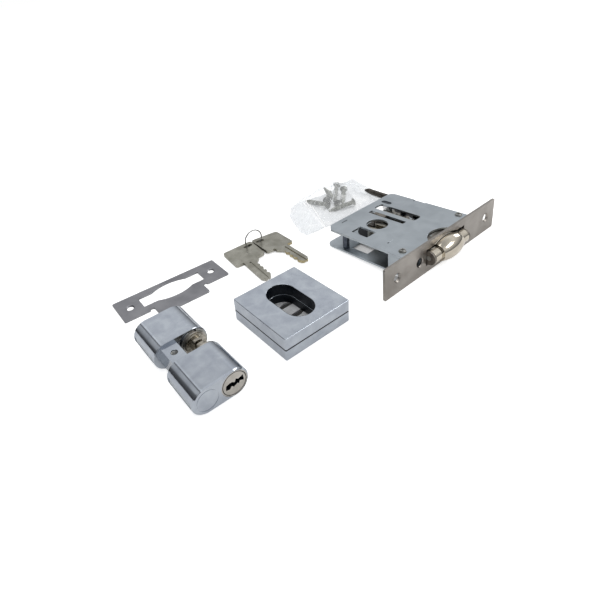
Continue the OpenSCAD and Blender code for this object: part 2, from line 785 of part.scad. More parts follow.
module cylinder_near() {
    color("lightsteelblue") cylinder_frame() difference() {
        cylinder_half(0, 1, near_len);
        // Bare ring mark on the near face
        translate([-plug_u, -eps, oval_r]) rotate([-90, 0, 0]) difference() {
            cylinder(r = mark_r, h = mark_t + eps);
            translate([0, 0, -eps]) cylinder(r = mark_r - mark_w, h = mark_t + 3 * eps);
        }
    }
}
module cylinder_far() {
    color("lightsteelblue") cylinder_frame() cylinder_half(cyl_len, -1, far_len);
}
module cylinder_bridge() {
    color("lightslategray") cylinder_frame() difference() {
        bridge_bar();
        translate([bridge_u, (near_end + far_start) / 2, -eps]) cylinder(d = bridge_thread_d, h = oval_w);
    }
}

// Zig-zag keyway, drawn across the plug with X away from the pins
module keyway() {
    polygon([
        for (s = [1, -1]) for (i = s > 0 ? [0:len(key_zig) - 1] : [len(key_zig) - 1:-1:0])
            [key_x(i), key_zig[i] + s * keyway_w / 2]
    ]);
}
function key_x(i) = keyway_x[0] + i * (keyway_x[1] - keyway_x[0]) / (len(key_zig) - 1);
module plug(face, dir, len) {
    y0 = dir > 0 ? face + plug_sunk : face - plug_sunk;
    difference() {
        union() {
            on_plug(min(y0, y0 + dir * (len - plug_sunk + plug_back)), plug_r, len - plug_sunk + plug_back);
            on_plug(min(y0, y0 + dir * (lip_t - plug_sunk)), plug_r + plug_lip, lip_t - plug_sunk);
        }
        translate([plug_u, 0, oval_r]) along_y(min(y0, y0 + dir * keyway_l) - eps, max(y0, y0 + dir * keyway_l) + eps)
            keyway();
        at_pins(face, dir) translate([0, 0, key_pin_end]) cylinder(d = pin_d, h = plug_r);
        // Groove of the retaining clip
        difference() {
            on_plug(dir > 0 ? near_end + clip_room : far_start - clip_room - clip_t, plug_r + 1, clip_t);
            on_plug(dir > 0 ? near_end : far_start - clip_t - 1, clip_in_r, clip_t + 1);
        }
    }
}
module plug_near() { color("rosybrown") cylinder_frame() plug(0, 1, near_len); }
module plug_far() { color("rosybrown") cylinder_frame() plug(cyl_len, -1, far_len); }

// Disc and drive bar on the plug's inner end
module coupling(dir) {
    y0 = dir > 0 ? near_end + plug_back : far_start - plug_back;
    on_plug(min(y0, y0 + dir * coupling_disc_t), coupling_disc_r, coupling_disc_t);
    y1 = y0 + dir * coupling_disc_t;
    translate([plug_u, 0, oval_r]) intersection() {
        translate([-coupling_w / 2, min(y1, y1 + dir * coupling_h), -coupling_l / 2])
            cube([coupling_w, coupling_h, coupling_l]);
        translate([0, min(y1, y1 + dir * coupling_h), 0]) rotate([-90, 0, 0]) cylinder(d = coupling_l, h = coupling_h);
    }
}
module coupling_near() { color("dimgray") cylinder_frame() coupling(1); }
module coupling_far() { color("dimgray") cylinder_frame() coupling(-1); }

// Open ring in the groove behind each half
module clip(y) {
    difference() {
        on_plug(y, clip_out_r, clip_t);
        on_plug(y - eps, clip_in_r, clip_t + 2 * eps);
        translate([plug_u - clip_open / 2, y - eps, oval_r]) cube([clip_open, clip_t + 2 * eps, clip_out_r + 1]);
    }
}
module clip_near() { color("black") cylinder_frame() clip(near_end + clip_room); }
module clip_far() { color("black") cylinder_frame() clip(far_start - clip_room - clip_t); }

module each_half() {
    for (h = [[0, 1], [cyl_len, -1]]) at_pins(h[0], h[1]) children();
}
module driver_pins() {
    color("goldenrod") cylinder_frame() each_half()
        translate([0, 0, plug_r + pin_gap]) cylinder(d = pin_d - 2 * run, h = driver_l);
}
module pin_springs() {
    color("silver") cylinder_frame() each_half() translate([0, 0, plug_r + pin_gap + driver_l])
        coil(chamber_end - plug_r - pin_gap - driver_l, (pin_d - 2 * slip - pin_wire) / 2, pin_wire, pin_turns, pin_steps,
            pin_sides);
}
// Key pins: a pointed end towards the keyway
module key_pins(face, dir) {
    at_pins(face, dir) {
        translate([0, 0, key_pin_end + key_tip])
            cylinder(d = pin_d - 2 * run, h = plug_r - pin_gap - key_pin_end - key_tip);
        translate([0, 0, key_pin_end]) cylinder(d1 = pin_d / 3, d2 = pin_d - 2 * run, h = key_tip);
    }
}
module key_pins_near() { color("gold") cylinder_frame() key_pins(0, 1); }
module key_pins_far() { color("gold") cylinder_frame() key_pins(cyl_len, -1); }
// Strips that close the pin chambers
module chamber_covers() {
    color("gray") cylinder_frame() for (y = [0, cyl_len - far_len]) let (len = y > 0 ? far_len : near_len)
        span([-oval_l / 2 + cover_sunk, y + cover_in, oval_r - cover_slot_w / 2],
            [-oval_l / 2 + cover_sunk + cover_slot_t, y + len - cover_in, oval_r + cover_slot_w / 2]);
}

// Square escutcheon from z up: a shell with a collar round the cylinder's hole
module escutcheon(z, high, collar_z) {
    set_frame() translate([esc_at.x, esc_at.y, z]) rotate(esc_yaw) difference() {
        union() {
            difference() {
                linear_extrude(high) round_box(esc_w, esc_w, esc_r);
                translate([0, 0, -eps]) linear_extrude(high - esc_t + eps)
                    round_box(esc_w - 2 * esc_t, esc_w - 2 * esc_t, esc_r / 2);
            }
            translate([0, 0, collar_z]) rotate(90) linear_extrude(high - collar_z - eps)
                stadium(esc_hole.x + 2 * esc_t, esc_hole.y + 2 * esc_t);
        }
        translate([0, 0, -eps]) rotate(90) linear_extrude(high + 2 * eps) stadium(esc_hole.x, esc_hole.y);
    }
}
module lower_escutcheon() { color("lightsteelblue") escutcheon(0, esc_low_h, fix_plate_t); }
module upper_escutcheon() { color("lightsteelblue") escutcheon(esc_low_h, esc_h, 0); }
// Plate inside the lower escutcheon, with the plug's hole bridged by a bar
module fixing_plate() {
    side = esc_w - 2 * esc_t - 2 * slip;
    color("lightslategray") set_frame() translate([esc_at.x, esc_at.y, 0]) rotate(esc_yaw)
        linear_extrude(fix_plate_t) difference() {
            round_box(side, side, esc_r / 2);
            translate(fix_plate_hole) difference() {
                circle(fix_plate_hole_r);
                square([2 * fix_plate_hole_r + 1, fix_plate_bar], center = true);
            }
        }
}

// Strike plate lying flat, its lip towards the front
module strike_plate() {
    bulge = strike_bulge - strike_slot_w / 2;
    arc = (strike_bulge_l * strike_bulge_l / 4 + bulge * bulge) / (2 * bulge);
    color("gray") set_frame() translate([strike_at.x, strike_at.y, 0]) rotate(strike_yaw) difference() {
        linear_extrude(strike_t) difference() {
            union() {
                round_box(strike_len, strike_w, strike_r);
                translate([lip_x, -strike_w / 2 - lip_reach / 2 + lip_r])
                    round_box(lip_l, lip_reach + 2 * lip_r, lip_r);
            }
            square([strike_slot_l, strike_slot_w], center = true);
            intersection_for (s = [-1, 1]) translate([0, s * (strike_bulge - arc)]) circle(arc);
            for (s = [-1, 1]) translate([lip_x + s * (lip_l / 2 + relief_r), -strike_w / 2]) circle(relief_r);
        }
        for (s = [-1, 1]) translate([s * strike_pitch / 2, 0, -eps]) {
            cylinder(d = strike_hole_d, h = strike_t + 2 * eps);
            translate([0, 0, strike_t - (strike_sink_d - strike_hole_d) / 2 + 2 * eps])
                cylinder(d1 = strike_hole_d, d2 = strike_sink_d, h = (strike_sink_d - strike_hole_d) / 2);
        }
    }
}

// A key lying flat: its head behind the origin, its blade towards -Y
module key_body(cuts) {
    foot = key_side - key_blade_w;
    difference() {
        union() {
            linear_extrude(key_t) translate([0, key_head_l / 2]) round_box(key_head_w, key_head_l, key_r);
            linear_extrude(key_t) polygon(concat(
                [[key_side, key_r], [key_side, key_tip_l - key_blade_l], [key_side - key_tip_in, -key_blade_l]],
                [[foot + key_tip_in, -key_blade_l], [foot, key_tip_l - key_blade_l]],
                [for (i = [len(cuts) - 1:-1:0], e = key_cut_steps)
                    [foot + (abs(e) < 1 ? cuts[i] : 0), e - key_first_cut - i * key_cut_pitch]],
                [[foot, -key_neck_l - key_neck_slope], [-key_neck_side, -key_neck_l], [-key_neck_side, key_r]]
            ));
        }
        translate([key_slot_u, key_head_l - key_slot_in, -eps]) linear_extrude(key_t + 2 * eps)
            round_box(key_slot_l, key_slot_w, key_slot_w / 2 - eps);
        // Groove along each side of the blade
        for (z = [-eps, key_t - key_groove_t]) translate([key_groove_u, -key_blade_l - 1, z])
            cube([key_groove_w, key_blade_l - key_neck_l + 1, key_groove_t + eps]);
    }
}
// The key leaning on its outer edge, raised towards the ring
module leaning_key(cuts) {
    translate([key_head_w / 2, 0, key_lift]) rotate([0, key_lean, 0]) translate([-key_head_w / 2, 0, 0])
        key_body(cuts);
}
module key_right() {
    color("darkkhaki") set_frame() translate([key_right_at.x, key_right_at.y, 0]) rotate(key_right_yaw)
        leaning_key(key_right_cuts);
}
module key_left() {
    color("darkkhaki") set_frame() translate([key_left_at.x, key_left_at.y, 0]) rotate(key_left_yaw)
        mirror([1, 0, 0]) leaning_key(key_left_cuts);
}
module key_ring() {
    color("silver") set_frame() translate([ring_at.x, ring_at.y, ring_d / 2]) rotate(ring_yaw) rotate([90, 0, 0])
        rotate_extrude() translate([(ring_d - ring_wire) / 2, 0]) circle(d = ring_wire, $fn = ring_sides);
}

// Countersunk screw along +X from its head
module sunk_screw(l, d, head_d, point) {
    head = (head_d - d) / 2;
    difference() {
        rotate([0, 90, 0]) rotate_extrude() polygon([
            [0, 0], [head_d / 2, 0], [d / 2, head], [d / 2, l - point], [d / 5, l], [0, l]
        ]);
        for (a = [0, 90]) rotate([a, 0, 0]) cube([head, head_d / 2, cross_slot], center = true);
    }
}
module wood_screws() {
    color("silver") set_frame() for (s = screw_places)
        translate([s[0], s[1], s[2]]) rotate([0, s[4], s[3]])
            sunk_screw(screw_l, screw_d, screw_head_d, screw_point);
}
// Long screw that runs from the faceplate to the cylinder's bridge
module fixing_screw() {
    color("darkslategray") set_frame() translate([fix_at.x, fix_at.y, plate_sink_d / 2])
        rotate([0, fix_lean, 90]) sunk_screw(fix_len, fix_d, plate_sink_d, fix_point);
}

// Bag: film that rises from its outline over the heap of screws
module bag_tent(inset) {
    hull() {
        translate([0, 0, inset]) linear_extrude(bag_h - 2 * inset) offset(delta = -2 * inset) polygon(bag_outline);
        translate([0, 0, bag_top - bag_crest - inset]) linear_extrude(bag_crest)
            offset(delta = -inset) polygon(bag_heap);
    }
}
module screw_bag() {
    color("whitesmoke", 0.5) set_frame() difference() {
        bag_tent(0);
        bag_tent(bag_film);
    }
}

case_tray();
cover_plate();
case_posts();
cover_screws();
faceplate();
spring_stop();
latch_spring();
roller_carriage();
bolt_tail();
slide_channel();
guide_lug();
tail_rivets();
spring_rod();
roller_axle();
roller();
hub();
hub_lever();
drive_pin();
cylinder_near();
cylinder_far();
cylinder_bridge();
plug_near();
plug_far();
coupling_near();
coupling_far();
clip_near();
clip_far();
driver_pins();
pin_springs();
key_pins_near();
key_pins_far();
chamber_covers();
lower_escutcheon();
fixing_plate();
upper_escutcheon();
strike_plate();
key_left();
key_right();
key_ring();
wood_screws();
fixing_screw();
screw_bag();
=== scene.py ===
import json
import math

import bpy
from mathutils import Matrix, Vector


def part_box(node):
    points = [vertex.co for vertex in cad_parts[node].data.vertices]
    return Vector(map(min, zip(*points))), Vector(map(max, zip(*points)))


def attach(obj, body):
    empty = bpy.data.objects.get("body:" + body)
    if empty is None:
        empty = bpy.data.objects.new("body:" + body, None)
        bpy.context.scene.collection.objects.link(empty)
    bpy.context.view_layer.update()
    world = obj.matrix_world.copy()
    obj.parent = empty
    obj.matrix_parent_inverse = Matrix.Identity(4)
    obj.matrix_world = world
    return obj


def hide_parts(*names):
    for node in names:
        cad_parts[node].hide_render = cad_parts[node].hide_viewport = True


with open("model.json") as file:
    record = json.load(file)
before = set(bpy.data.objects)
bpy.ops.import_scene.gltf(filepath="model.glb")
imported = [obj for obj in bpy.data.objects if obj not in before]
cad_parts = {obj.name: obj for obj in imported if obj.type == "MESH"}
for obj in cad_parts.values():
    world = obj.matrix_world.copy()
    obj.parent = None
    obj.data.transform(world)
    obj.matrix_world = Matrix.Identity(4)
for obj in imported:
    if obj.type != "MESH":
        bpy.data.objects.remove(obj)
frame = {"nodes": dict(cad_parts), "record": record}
nodes = frame["nodes"]
record = frame["record"]
bodyOf = {node: body for body, names in record["behaviour"]["bodies"].items() for node in names}
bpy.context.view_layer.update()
millimetre = 0.001
print("frame loaded", len(nodes), "nodes")

# Middle of the whole set in the part's source, in millimetres: places written there start from it
setMiddle = Vector((-4.4627, 68.7331, 0))


def linearColour(hexText):
    channels = [int(hexText[i:i + 2], 16) / 255 for i in (0, 2, 4)]
    return [c / 12.92 if c < 0.04045 else ((c + 0.055) / 1.055) ** 2.4 for c in channels] + [1.0]


def addNode(tree, kind, settings=None, links=None):
    node = tree.nodes.new(kind)
    for name, value in (settings or {}).items():
        if isinstance(name, int) or name in node.inputs:
            node.inputs[name].default_value = value
        else:
            setattr(node, name, value)
    for name, socket in (links or {}).items():
        tree.links.new(socket, node.inputs[name])
    return node


def addMath(tree, operation, *values):
    settings = {i: value for i, value in enumerate(values) if isinstance(value, (int, float))}
    links = {i: value for i, value in enumerate(values) if i not in settings}
    return addNode(tree, "ShaderNodeMath", {"operation": operation, **settings}, links).outputs[0]


def straightRays(tree, rays):
    return addNode(tree, "ShaderNodeMath", {"operation": "ADD", "use_clamp": True},
                   {0: rays.outputs["Is Camera Ray"], 1: rays.outputs["Is Transmission Ray"]}).outputs[0]


def newMaterial(name):
    material = bpy.data.materials.new(name)
    material.use_nodes = True
    material.node_tree.nodes.clear()
    return material, material.node_tree


def deselectAll():
    if bpy.context.object and bpy.context.object.mode != "OBJECT":
        bpy.ops.object.mode_set(mode="OBJECT")
    bpy.ops.object.select_all(action="DESELECT")


def selectOnly(piece):
    deselectAll()
    piece.select_set(True)
    bpy.context.view_layer.objects.active = piece


# Metals: satin or polished plate with cloudy tone, fine lines and small scratches
metals = {
    "zincPlatedSheet": {  # cold-rolled sheet, zinc plated: even blue-grey with faint clouds and rolling lines
        "colour": "b4bbc0", "cloud": "a8afb4", "cloudSize": 14, "roughness": 0.36, "roughSpread": 0.1,
        "lines": (0.9, 12, 0.9), "lineDepth": 0.03, "speckSize": 0.7},
    "brushedStainless": {  # linished along its length: long fine streaks, warm grey
        "colour": "a39e98", "cloud": "8c8781", "cloudSize": 22, "roughness": 0.34, "roughSpread": 0.12,
        "lines": (18, 0.5, 0.5), "lineDepth": 0.06, "speckSize": 0.5},
    "polishedNickel": {  # turned and polished: warm and mirror-like, with faint turning rings
        "colour": "cec6b7", "cloud": "beb6a8", "cloudSize": 9, "roughness": 0.11, "roughSpread": 0.06,
        "lines": (0.35, 60, 60), "lineDepth": 0.012, "speckSize": 0.5},
    "satinChrome": {  # die-cast body, plated and brushed lightly: cool, with soft clouded reflections
        "colour": "b6bcc3", "cloud": "a6acb5", "cloudSize": 9, "roughness": 0.12, "roughSpread": 0.08,
        "lines": (6, 6, 6), "lineDepth": 0.006, "speckSize": 0.6},
    "turnedNickel": {  # plug faces: satin nickel, warm
        "colour": "bdb9b2", "cloud": "aeaaa2", "cloudSize": 5, "roughness": 0.34, "roughSpread": 0.08,
        "lines": (0.8, 6, 0.8), "lineDepth": 0.03, "speckSize": 0.4},
    "keyNickel": {  # stamped brass blank under nickel, rubbed by use
        "colour": "a8a69c", "cloud": "918f84", "cloudSize": 7, "roughness": 0.3, "roughSpread": 0.14,
        "lines": (0.6, 9, 0.6), "lineDepth": 0.04, "speckSize": 0.5},
    "cutBrass": {  # milled after plating: bare brass
        "colour": "b8ad8c", "cloud": "968a68", "cloudSize": 3, "roughness": 0.36, "roughSpread": 0.1,
        "lines": (0.5, 0.5, 4), "lineDepth": 0.05, "speckSize": 0.4},
    "stampedSteel": {  # strike plate: blanked sheet, brushed along its length
        "colour": "939396", "cloud": "828286", "cloudSize": 18, "roughness": 0.33, "roughSpread": 0.1,
        "lines": (14, 0.6, 0.6), "lineDepth": 0.05, "speckSize": 0.5},
    "hubNickel": {  # cast hub, tumbled and nickel plated: bright, with dark recesses
        "colour": "b9b4a8", "cloud": "7e786e", "cloudSize": 2.5, "roughness": 0.22, "roughSpread": 0.12,
        "lines": (1.2, 1.2, 1.2), "lineDepth": 0.08, "speckSize": 0.4},
    "bagScrewZinc": {  # rolled screws, zinc plated, dull green-grey
        "colour": "94958a", "cloud": "56574d", "cloudSize": 2.2, "roughness": 0.26, "roughSpread": 0.12,
        "lines": (0.8, 0.8, 0.8), "lineDepth": 0.03, "speckSize": 0.4},
    "slideZinc": {  # pressed slide of the bolt, warm grey
        "colour": "a8a59b", "cloud": "8b877d", "cloudSize": 4, "roughness": 0.42, "roughSpread": 0.1,
        "lines": (0.8, 4, 0.8), "lineDepth": 0.03, "speckSize": 0.4},
    "brightZinc": {  # small turned or pressed steel parts, zinc plated
        "colour": "b0b1b0", "cloud": "96968f", "cloudSize": 4, "roughness": 0.32, "roughSpread": 0.12,
        "lines": (0.8, 2, 0.8), "lineDepth": 0.03, "speckSize": 0.4},
    "sinteredSteel": {  # pressed powder parts of the bolt: dull, brownish
        "colour": "8b857d", "cloud": "6f6a64", "cloudSize": 5, "roughness": 0.46, "roughSpread": 0.1,
        "lines": (1.2, 1.2, 1.2), "lineDepth": 0.05, "speckSize": 0.4},
    "oiledSteel": {  # turned posts, clips and couplings with a trace of oil
        "colour": "5f656e", "cloud": "474c55", "cloudSize": 4, "roughness": 0.3, "roughSpread": 0.1,
        "lines": (0.6, 0.6, 3), "lineDepth": 0.03, "speckSize": 0.4},
    "springWire": {  # drawn wire
        "colour": "8f8d8a", "cloud": "74716d", "cloudSize": 3, "roughness": 0.28, "roughSpread": 0.08,
        "lines": (0.5, 3, 0.5), "lineDepth": 0.02, "speckSize": 0.3},
    "darkPassivated": {  # long screw: zinc with a dark passivation
        "colour": "5f5b55", "cloud": "45423e", "cloudSize": 4, "roughness": 0.4, "roughSpread": 0.12,
        "lines": (0.8, 0.8, 0.8), "lineDepth": 0.04, "speckSize": 0.4},
}


streakShare, streakMiddle = 0.35, 0.17  # how much the streaks add to the clouds, and what keeps the mean
speckShare = 0.3


def metalFinish(name, spec):
    material, tree = newMaterial(name)
    place = addNode(tree, "ShaderNodeTexCoord").outputs["Object"]
    stretch = addNode(tree, "ShaderNodeMapping", {
        "Scale": [1 / (size * millimetre) for size in spec["lines"]]}, {"Vector": place}).outputs["Vector"]
    streak = addNode(tree, "ShaderNodeTexNoise", {"Scale": 1.0, "Detail": 3.0, "Roughness": 0.6},
                     {"Vector": stretch}).outputs["Fac"]
    cloud = addNode(tree, "ShaderNodeTexNoise", {
        "Scale": 1 / (spec["cloudSize"] * millimetre), "Detail": 4.0, "Roughness": 0.55, "Distortion": 0.4},
        {"Vector": place}).outputs["Fac"]
    speck = addNode(tree, "ShaderNodeTexNoise", {
        "Scale": 1 / (spec["speckSize"] * millimetre), "Detail": 1.0, "Roughness": 0.5},
        {"Vector": place}).outputs["Fac"]
    tone = addNode(tree, "ShaderNodeMapRange", {"From Min": 0.36, "From Max": 0.64},
                   {"Value": cloud}).outputs["Result"]
    blend = addMath(tree, "MULTIPLY_ADD", streak, streakShare, tone)
    mixed = addNode(tree, "ShaderNodeMath", {"operation": "SUBTRACT", 1: streakMiddle, "use_clamp": True},
                    {0: blend}).outputs[0]
    colour = addNode(tree, "ShaderNodeMix", {"data_type": "RGBA"}, {0: mixed})
    colour.inputs[6].default_value = linearColour(spec["colour"])
    colour.inputs[7].default_value = linearColour(spec["cloud"])
    shown = colour.outputs[2]
    # Patches laid over the colour: painted shade, or a plain tone
    for middle, ringMiddle, halfWidth, patchColour in spec.get("shadeAndTonePatches", []):
        away = addNode(tree, "ShaderNodeVectorMath", {
            "operation": "DISTANCE", 1: (Vector(middle) - setMiddle) * millimetre},
            {0: place}).outputs["Value"]
        share = addMath(tree, "COMPARE", away, ringMiddle * millimetre, halfWidth * millimetre)
        patched = addNode(tree, "ShaderNodeMix", {"data_type": "RGBA"}, {0: share, 6: shown})
        patched.inputs[7].default_value = linearColour(patchColour)
        shown = patched.outputs[2]
    rough = addNode(tree, "ShaderNodeMapRange", {
        "From Min": 0.3, "From Max": 0.7, "To Min": spec["roughness"] - spec["roughSpread"] / 2,
        "To Max": spec["roughness"] + spec["roughSpread"] / 2}, {"Value": cloud}).outputs["Result"]
    relief = addMath(tree, "MULTIPLY_ADD", speck, speckShare, streak)
    bump = addNode(tree, "ShaderNodeBump", {"Strength": 0.6, "Distance": spec["lineDepth"] * millimetre},
                   {"Height": relief}).outputs["Normal"]
    shader = addNode(tree, "ShaderNodeBsdfPrincipled", {"Metallic": 1.0},
                     {"Base Color": shown, "Roughness": rough, "Normal": bump})
    addNode(tree, "ShaderNodeOutputMaterial", {}, {"Surface": shader.outputs[0]})
    return material


plainCloud, plainDarker = 3, 0.55  # size of the clouds in millimetres, and their tone beside the main one


def plainFinish(name, hexText, roughness, metallic):
    material, tree = newMaterial(name)
    place = addNode(tree, "ShaderNodeTexCoord").outputs["Object"]
    cloud = addNode(tree, "ShaderNodeTexNoise", {"Scale": 1 / (plainCloud * millimetre), "Detail": 3.0},
                    {"Vector": place})
    tone = addNode(tree, "ShaderNodeMix", {"data_type": "RGBA"}, {0: cloud.outputs["Fac"]})
    tone.inputs[6].default_value = linearColour(hexText)
    tone.inputs[7].default_value = [c * plainDarker for c in linearColour(hexText)[:3]] + [1]
    shader = addNode(tree, "ShaderNodeBsdfPrincipled", {"Metallic": metallic, "Roughness": roughness},
                     {"Base Color": tone.outputs[2]})
    addNode(tree, "ShaderNodeOutputMaterial", {}, {"Surface": shader.outputs[0]})
    return material


# Patches are balls or rings round a place, mostly painted shade: its middle, the ring's radius, half its
# width and its colour
# The tray is painted dark under the slot beside the hub, as painted shade of its unlit inside, with one warm
# grey patch among the dark ones
metals["trayPaintedShade"] = dict(metals["zincPlatedSheet"], shadeAndTonePatches=[
    ((61, 60.5, 3), 0, 11, "14171c"),
    ((96.5, 62, 3), 0, 10, "8a8780"),
    ((104.2, 65, 3), 0, 5.2, "15161a"),
    ((104, 57, 3), 0, 5.6, "15161a"),
    ((103.4, 49, 3), 0, 6, "15161a"),
])
# The plugs have painted shade in the joint round their faces
plugFaces = [(-115.275, 6.476, 9.1), (-112.68, 77.23, 9.1)]
plugShadeRing, plugShadeHalf = 7.3, 0.24
metals["turnedNickel"]["shadeAndTonePatches"] = [(face, plugShadeRing, plugShadeHalf, "1c2026") for face in plugFaces]

# Plain finishes: colour, roughness and how metallic each is
plains = {
    "borePaintedShade": ("1a212b", 0.4, 0.6),  # painted shade on the walls of deep holes
    "jointPaintedShade": ("12151a", 0.6, 0.0),  # painted shade in the joints between pieces
    "markPaintedShade": ("4d5359", 0.5, 0.3),  # painted shade in pressed marks
    "dullZinc": ("f0f2f4", 0.5, 0.0),  # die-cast plate, not polished
}
finishes = {name: metalFinish(name, spec) for name, spec in metals.items()}
finishes.update({name: plainFinish(name, *spec) for name, spec in plains.items()})
print("finishes made", len(finishes))

nodeFinish = {
    "zincPlatedSheet": ["cover_plate", "chamber_covers"],
    "trayPaintedShade": ["case_tray"],
    "brushedStainless": ["faceplate"],
    "polishedNickel": ["roller"],
    "satinChrome": ["cylinder_near", "cylinder_far", "cylinder_bridge", "lower_escutcheon",
                    "upper_escutcheon"],
    "turnedNickel": ["plug_near", "plug_far"],
    "keyNickel": ["key_left", "key_right"],
    "cutBrass": ["driver_pins", "key_pins_near", "key_pins_far"],
    "stampedSteel": ["strike_plate"],
    "brightZinc": ["cover_screws", "spring_stop", "drive_pin", "tail_rivets", "key_ring", "roller_axle",
                   "spring_rod", "clip_near", "clip_far"],
    "sinteredSteel": ["roller_carriage", "bolt_tail", "guide_lug"],
    "hubNickel": ["hub", "hub_lever", "coupling_near", "coupling_far"],
    "bagScrewZinc": ["wood_screws"],
    "slideZinc": ["slide_channel"],
    "dullZinc": ["fixing_plate"],
    "oiledSteel": ["case_posts"],
    "springWire": ["latch_spring", "pin_springs"],
    "darkPassivated": ["fixing_screw"],
}
finishOf = {name: finish for finish, names in nodeFinish.items() for name in names}
for name, finish in finishOf.items():
    nodes[name].data.materials.clear()
    nodes[name].data.materials.append(finishes[finish])


def addPiece(name, mesh, body):
    piece = bpy.data.objects.new(name, mesh)
    bpy.context.scene.collection.objects.link(piece)
    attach(piece, body)
    return piece


def editAll(piece):
    selectOnly(piece)
    bpy.ops.object.mode_set(mode="EDIT")
    bpy.ops.mesh.select_all(action="SELECT")


# Worn edges: a copy of each plain solid with its corners broken, in millimetres
edgeBreak = {
    "cover_plate": 0.14, "case_tray": 0.14, "faceplate": 0.22, "strike_plate": 0.2,
    "upper_escutcheon": 0.55, "lower_escutcheon": 0.45, "fixing_plate": 0.12,
    "cylinder_near": 0.25, "cylinder_far": 0.25, "cylinder_bridge": 0.35, "plug_near": 0.12, "plug_far": 0.12,
    "coupling_near": 0.2, "coupling_far": 0.2, "chamber_covers": 0.12,
    "roller": 0.16, "roller_carriage": 0.2, "roller_axle": 0.2, "bolt_tail": 0.14, "slide_channel": 0.3,
    "guide_lug": 0.3, "hub": 0.2, "hub_lever": 0.14, "spring_stop": 0.14, "case_posts": 0.12,
    "cover_screws": 0.14, "key_left": 0.22, "key_right": 0.22, "wood_screws": 0.1, "fixing_screw": 0.16,
}
weldReach = 0.002 * millimetre
sharpFrom = math.radians(28)
flatWithin = math.radians(0.6)
smoothWithin = math.radians(50)
holeGrid = 26 * millimetre
gridStart = 0.43
escutcheonYaw = -1.8


def paintFaces(piece, finish, test):
    slotIndex = len(piece.data.materials)
    piece.data.materials.append(finishes[finish])
    for face in piece.data.polygons:
        if test(Vector(face.center) / millimetre, face.normal):
            face.material_index = slotIndex


# Keyways: a broad zig-zag slot opened into each plug's face, with its outline across and up in millimetres
keyway = {
    "outline": [
        (-5.5, -0.1), (-4.3, 1.1), (-2.9, 0.2), (-1.7, 2.0), (0.1, 0.7), (1.1, 2.6), (2.6, 1.5), (5.6, 2.6),
        (5.7, -1.1), (3.5, -0.1), (2.6, -1.9), (1.1, -0.4), (-0.5, -2.3), (-1.9, -0.8), (-3.2, -2.4),
        (-5.5, -1.8)],
    "before": 1.0, "deep": 9.0,
}
cylinderTurn = math.radians(-2.1)
cylinderAt = Vector((-123.57, 6.78, 0))
plugAcross, plugUp, cylinderLength = 8.3, 9.1, 70.8


def cylinderMatrix(end):
    place = Matrix.Translation((cylinderAt - setMiddle) * millimetre) @ Matrix.Rotation(cylinderTurn, 4, "Z")
    along = 0 if end == "near" else cylinderLength
    flip = 1 if end == "near" else -1
    return (place @ Matrix.Translation(Vector((plugAcross, along, plugUp)) * millimetre)
            @ Matrix(((flip, 0, 0, 0), (0, flip, 0, 0), (0, 0, 1, 0), (0, 0, 0, 1))))


def openKeyway(piece, end):
    outline, deep = keyway["outline"], keyway["deep"]
    count = len(outline)
    points = [Vector((a, y, b)) * millimetre for y in (-keyway["before"], deep) for a, b in outline]
    faces = [[i, (i + 1) % count, count + (i + 1) % count, count + i] for i in range(count)]
    faces += [list(range(count))[::-1], [count + i for i in range(count)]]
    mesh = bpy.data.meshes.new("keywayCutter")
    mesh.from_pydata(points, [], faces)
    mesh.transform(cylinderMatrix(end))
    cutter = bpy.data.objects.new("keywayCutter", mesh)
    bpy.context.scene.collection.objects.link(cutter)
    editAll(cutter)
    bpy.ops.mesh.normals_make_consistent(inside=False)
    bpy.ops.object.mode_set(mode="OBJECT")
    selectOnly(piece)
    cut = piece.modifiers.new("keyway", "BOOLEAN")
    cut.object = cutter
    cut.solver = "EXACT"
    bpy.ops.object.modifier_apply(modifier="keyway")
    bpy.data.objects.remove(cutter)


# A flat face that goes right round a hole is parted by cuts kept as seams, so that no face covers the hole:
# an escutcheon through its middle and along its own sides, and any other piece on a grid
def seamThroughHoles(name):
    low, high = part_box(name)
    cuts = []
    if "escutcheon" in name:
        turn = Matrix.Rotation(math.radians(escutcheonYaw), 3, "Z")
        cuts = [((low + high) / 2, turn.col[axis]) for axis in (0, 1)]
    else:
        for axis in range(3):
            normal = Vector((0, 0, 0))
            normal[axis] = 1
            count = max(1, round((high[axis] - low[axis]) / holeGrid))
            cuts += [(low + (high - low) * (i + gridStart) / count, normal) for i in range(count)]
    for place, normal in cuts:
        bpy.ops.mesh.select_all(action="SELECT")
        bpy.ops.mesh.bisect(plane_co=place, plane_no=normal)
        bpy.ops.mesh.mark_seam()


def breakEdges(name, width):
    piece = addPiece(name + "_finished", nodes[name].data.copy(), bodyOf[name])
    editAll(piece)
    bpy.ops.mesh.remove_doubles(threshold=weldReach)
    bpy.ops.object.mode_set(mode="OBJECT")
    if name in ("plug_near", "plug_far"):
        openKeyway(piece, name.split("_")[1])
    editAll(piece)
    seamThroughHoles(name)
    bpy.ops.mesh.select_all(action="SELECT")
    bpy.ops.mesh.dissolve_limited(angle_limit=flatWithin, delimit={"SEAM"})
    bpy.ops.object.mode_set(mode="OBJECT")
    bevel = piece.modifiers.new("brokenEdge", "BEVEL")
    bevel.width = width * millimetre
    bevel.segments = 2
    bevel.limit_method = "ANGLE"
    bevel.angle_limit = sharpFrom
    bevel.use_clamp_overlap = "escutcheon" not in name
    bpy.ops.object.modifier_apply(modifier="brokenEdge")
    bpy.ops.object.shade_smooth_by_angle(angle=smoothWithin)
    weighted = piece.modifiers.new("flatFaces", "WEIGHTED_NORMAL")
    weighted.keep_sharp = True
    bpy.ops.object.modifier_apply(modifier="flatFaces")
    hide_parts(name)
    return piece


pieces = {name: breakEdges(name, width) for name, width in edgeBreak.items()}
print("edges broken", len(pieces))


